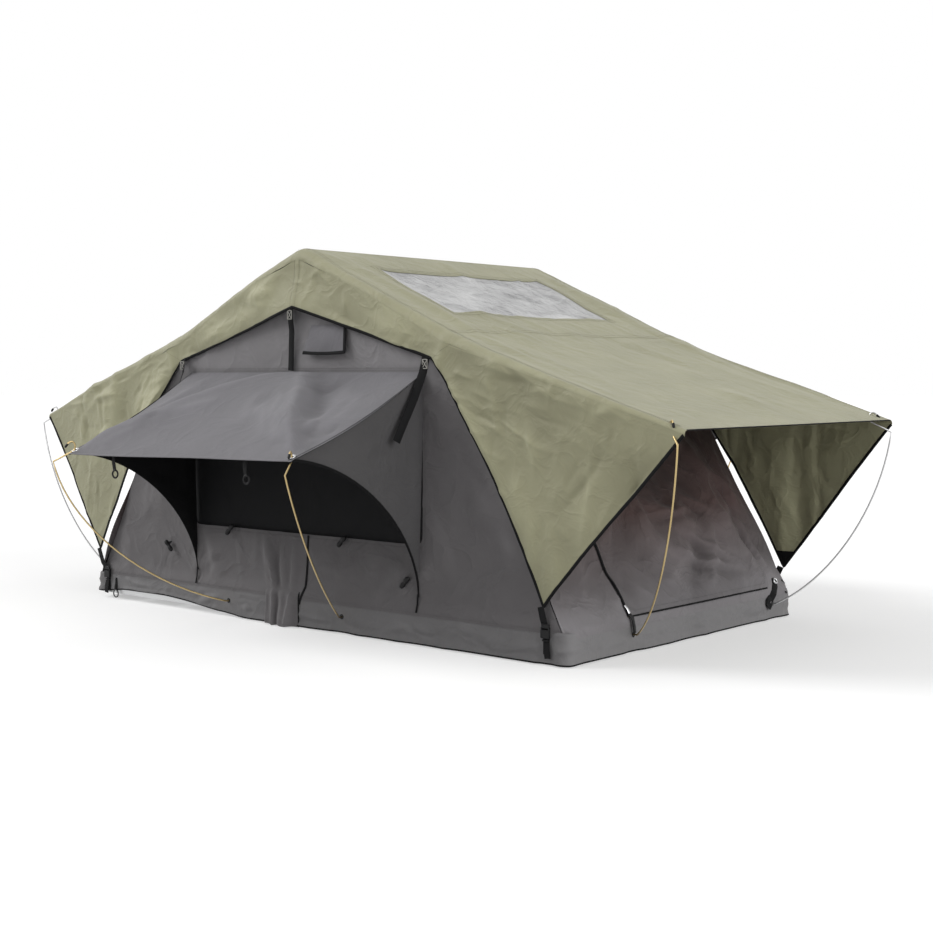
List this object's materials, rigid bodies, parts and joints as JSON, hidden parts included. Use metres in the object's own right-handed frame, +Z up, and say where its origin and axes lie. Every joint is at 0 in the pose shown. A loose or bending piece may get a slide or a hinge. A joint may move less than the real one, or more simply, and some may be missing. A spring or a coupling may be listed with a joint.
{
  "type": "roof top tent",
  "caption": "Open soft-shell roof top tent: hinged folding base with mattress, stacking hoops, canvas body, rain fly with awnings, and hooded side windows on sprung rods.",
  "frame": {"origin": "middle of the open tent in plan, at the underside of the mounting rails", "axes": "+X across the hinge towards the half that is fixed to the vehicle, +Y along the hinge, +Z up"},
  "size_m": [3.2858, 2.6978, 1.373],
  "materials": {
    "aluminium": "satin",
    "steel": "satin",
    "gold_steel": "satin",
    "black_plastic": "matte",
    "black_webbing": "matte",
    "floor_panel": "matte",
    "mattress_cover": "matte",
    "skirt_cloth": "matte",
    "fly_cloth": "matte",
    "wall_canvas": "matte",
    "hood_cloth": "matte",
    "insect_mesh": "matte",
    "skylight_film": "gloss"
  },
  "bodies": {
    "fixed_base": {"fixed_frame": "aluminium", "fixed_floor_panel": "floor_panel", "fixed_mattress": "mattress_cover", "fixed_skirt": "skirt_cloth", "near_mounting_rail": "aluminium", "far_mounting_rail": "aluminium", "rail_end_caps": "black_plastic", "rail_bolts": "steel", "fixed_hinge_plates": "gold_steel", "fixed_plate_bolts": "steel", "main_hinge_pins": "steel", "right_hoop_pins": "steel", "fixed_rod_sockets": "steel", "right_end_rods": "gold_steel", "right_window_rods": "gold_steel", "right_rod_caps": "black_plastic", "right_corner_buckles": "black_plastic"},
    "folding_base": {"folding_frame": "aluminium", "folding_floor_panel": "floor_panel", "folding_mattress": "mattress_cover", "folding_skirt": "skirt_cloth", "hinge_flaps": "skirt_cloth", "folding_hinge_plates": "gold_steel", "folding_plate_bolts": "steel", "left_hoop_pins": "steel", "left_hoop_spacers": "black_plastic", "folding_rod_sockets": "steel", "left_end_rods": "gold_steel", "left_window_rods": "gold_steel", "left_rod_caps": "black_plastic", "left_corner_buckles": "black_plastic", "ring_loop": "black_webbing"},
    "ridge_hoop": {"ridge_hoop": "aluminium", "ridge_hoop_ends": "black_plastic", "fly_roof": "fly_cloth", "near_valance": "fly_cloth", "far_valance": "fly_cloth", "right_wings": "fly_cloth", "left_wings": "fly_cloth", "skylight": "skylight_film", "fly_eyelets": "steel", "fly_straps": "black_webbing", "inner_roof": "wall_canvas", "near_gable": "wall_canvas", "far_gable": "wall_canvas", "right_end_wall": "wall_canvas", "left_end_wall": "wall_canvas", "right_door": "wall_canvas", "left_door": "wall_canvas", "window_meshes": "insect_mesh"},
    "right_hoop": {"right_hoop": "aluminium", "right_hoop_ends": "black_plastic"},
    "left_hoop": {"left_hoop": "aluminium", "left_hoop_ends": "black_plastic"},
    "near_hood": {"near_hood": "hood_cloth"},
    "far_hood": {"far_hood": "hood_cloth"},
    "near_vent": {"near_vent": "wall_canvas"},
    "far_vent": {"far_vent": "wall_canvas"},
    "hanging_ring": {"hanging_ring": "steel"}
  },
  "joints": [
    {"name": "fold", "type": "hinge", "parent": "fixed_base", "child": "folding_base", "pos_m": [0, 0, 0.1748], "axis": [0, 1, 0], "range_deg": [0, 180], "deforming": ["fly_roof", "near_valance", "far_valance", "right_wings", "left_wings", "skylight", "fly_straps", "inner_roof", "near_gable", "far_gable", "right_end_wall", "left_end_wall", "right_door", "left_door", "window_meshes", "near_hood", "far_hood", "near_vent", "far_vent", "right_end_rods", "right_window_rods", "right_rod_caps", "left_end_rods", "left_window_rods", "left_rod_caps"]},
    {"name": "ridge_hoop_turn", "type": "hinge", "parent": "fixed_base", "child": "ridge_hoop", "pos_m": [0, 0, 0.1748], "axis": [0, 1, 0], "range_deg": [0, 90]},
    {"name": "right_hoop_turn", "type": "hinge", "parent": "fixed_base", "child": "right_hoop", "pos_m": [0.06, 0, 0.1508], "axis": [0, 1, 0], "range_deg": [0, 55.26]},
    {"name": "left_hoop_turn", "type": "hinge", "parent": "folding_base", "child": "left_hoop", "pos_m": [-0.06, 0, 0.1508], "axis": [0, 1, 0], "range_deg": [-55.26, 0]},
    {"name": "near_hood_drop", "type": "hinge", "parent": "ridge_hoop", "child": "near_hood", "pos_m": [0, -0.7, 0.93], "axis": [1, 0, 0], "range_deg": [0, 64.9]},
    {"name": "far_hood_drop", "type": "hinge", "parent": "ridge_hoop", "child": "far_hood", "pos_m": [0, 0.7, 0.93], "axis": [-1, 0, 0], "range_deg": [0, 64.9]},
    {"name": "near_vent_shut", "type": "hinge", "parent": "ridge_hoop", "child": "near_vent", "pos_m": [0, -0.7, 1.098], "axis": [1, 0, 0], "range_deg": [0, 25.3]},
    {"name": "far_vent_shut", "type": "hinge", "parent": "ridge_hoop", "child": "far_vent", "pos_m": [0, 0.7, 1.098], "axis": [-1, 0, 0], "range_deg": [0, 25.3]},
    {"name": "ring_swing", "type": "hinge", "parent": "folding_base", "child": "hanging_ring", "pos_m": [-1.09, -0.7155, 0.04], "axis": [-1, 0, 0], "range_deg": [0, 90]}
  ],
  "couplings": [
    {"joint": "ridge_hoop_turn", "follows": "fold", "ratio": 0.5},
    {"joint": "right_hoop_turn", "follows": "fold", "ratio": 0.30696},
    {"joint": "left_hoop_turn", "follows": "fold", "ratio": -0.30696},
    {"joint": "near_hood_drop", "follows": "fold", "ratio": 0.36},
    {"joint": "far_hood_drop", "follows": "fold", "ratio": 0.36},
    {"joint": "near_vent_shut", "follows": "fold", "ratio": 0.14},
    {"joint": "far_vent_shut", "follows": "fold", "ratio": 0.14}
  ]
}
